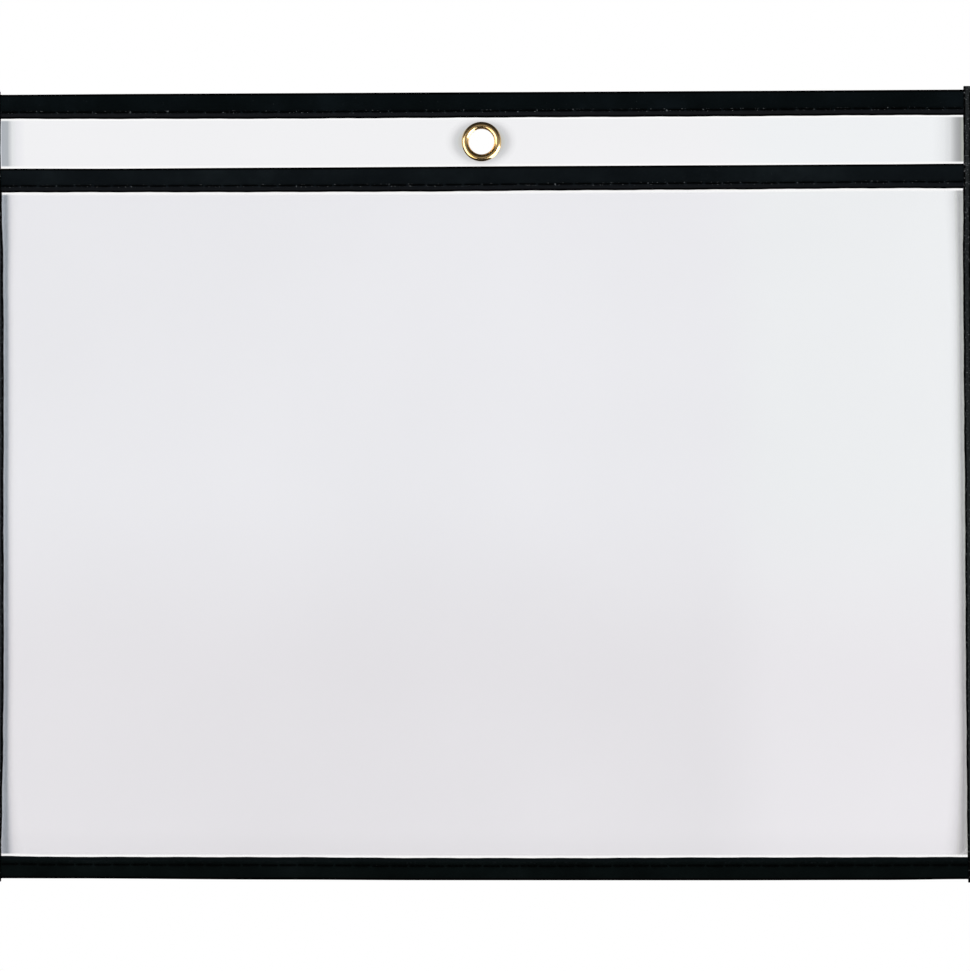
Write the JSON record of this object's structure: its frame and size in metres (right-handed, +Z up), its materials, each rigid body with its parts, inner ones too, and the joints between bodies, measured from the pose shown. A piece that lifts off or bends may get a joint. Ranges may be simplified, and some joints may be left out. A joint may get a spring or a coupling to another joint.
{
  "type": "job ticket holder",
  "caption": "Landscape clear vinyl ticket holder: open-topped pocket, stitched black tape bindings on every edge and a brass eyelet in a clear header to hang it by.",
  "frame": {"origin": "centre of the eyelet's hole, in the middle of the back sheet's thickness", "axes": "+X across the holder towards the right-hand binding as seen from the front, +Y towards the back, +Z up towards the top binding; the pocket opens upwards and its front faces -Y"},
  "size_m": [0.3234, 0.0047, 0.2537],
  "materials": {
    "clear_vinyl": "flexible clear vinyl sheet, glossy with a faint grey tint",
    "black_tape": "black vinyl binding tape with a fine pressed grain, satin",
    "black_thread": "black bonded sewing thread",
    "brass": "bright rolled brass"
  },
  "bodies": {
    "root": {"back_sheet": "clear_vinyl", "front_sheet": "clear_vinyl", "top_binding": "black_tape", "mouth_binding": "black_tape", "bottom_binding": "black_tape", "left_binding": "black_tape", "right_binding": "black_tape", "eyelet": "brass", "needle_thread_top": "black_thread", "bobbin_thread_top": "black_thread", "needle_thread_mouth": "black_thread", "bobbin_thread_mouth": "black_thread", "needle_thread_bottom": "black_thread", "bobbin_thread_bottom": "black_thread", "needle_thread_left": "black_thread", "bobbin_thread_left": "black_thread", "needle_thread_right": "black_thread", "bobbin_thread_right": "black_thread"}
  },
  "joints": []
}
